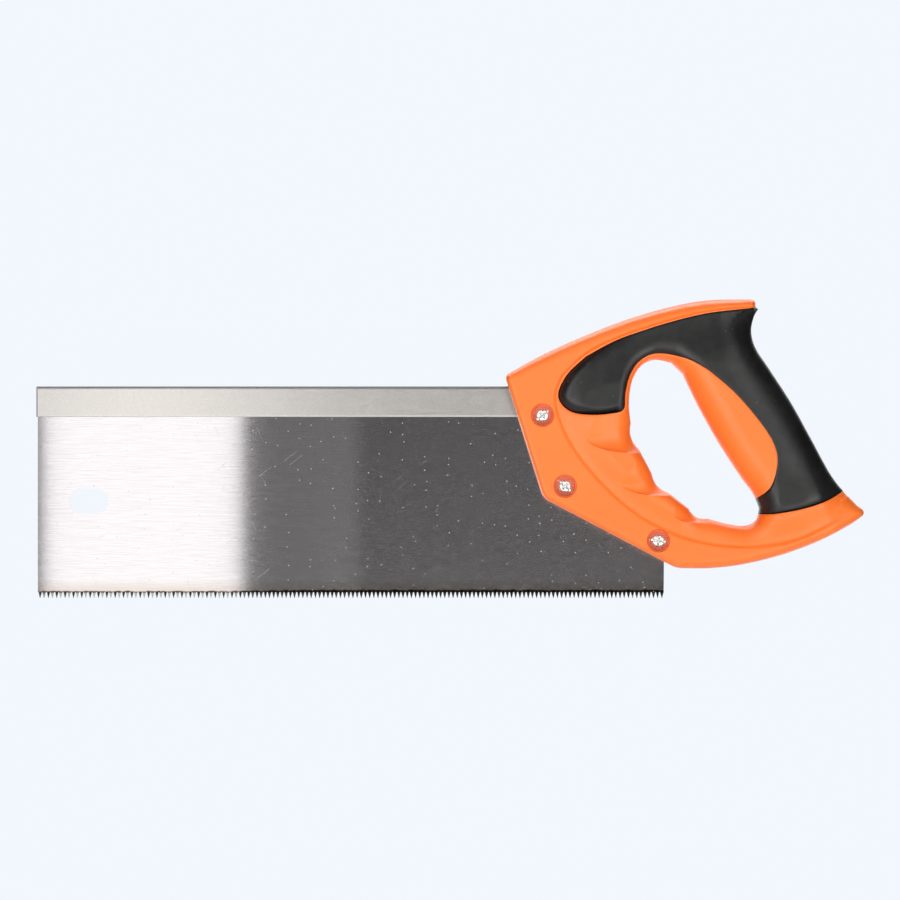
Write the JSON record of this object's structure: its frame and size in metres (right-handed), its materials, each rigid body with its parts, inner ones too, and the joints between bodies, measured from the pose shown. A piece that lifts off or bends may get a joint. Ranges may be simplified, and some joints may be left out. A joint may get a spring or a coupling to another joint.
{
  "type": "back saw",
  "caption": "Back saw for fine joinery cuts: toothed steel blade stiffened by a folded steel spine, in a closed moulded handle with a soft overmoulded grip.",
  "frame": {"origin": "under the middle of the whole saw's length and thickness, level with the tooth tips", "axes": "+X from the toe to the handle along the tooth line, +Y across the blade to the sleeve nuts' side, +Z from the teeth up to the spine"},
  "size_m": [0.3962, 0.03, 0.1431],
  "materials": {
    "blade_steel": "bright brushed, teeth hardened dark",
    "spine_steel": "satin",
    "orange_plastic": "semi-gloss, fine moulded grain",
    "black_rubber": "matt, soft to touch",
    "nickel_plate": "bright plated"
  },
  "bodies": {
    "root": {"blade": "blade_steel", "spine": "spine_steel", "handle_body": "orange_plastic", "soft_grip": "black_rubber", "saw_screw_upper": "nickel_plate", "saw_screw_middle": "nickel_plate", "saw_screw_lower": "nickel_plate", "sleeve_nut_upper": "nickel_plate", "sleeve_nut_middle": "nickel_plate", "sleeve_nut_lower": "nickel_plate"}
  },
  "joints": []
}
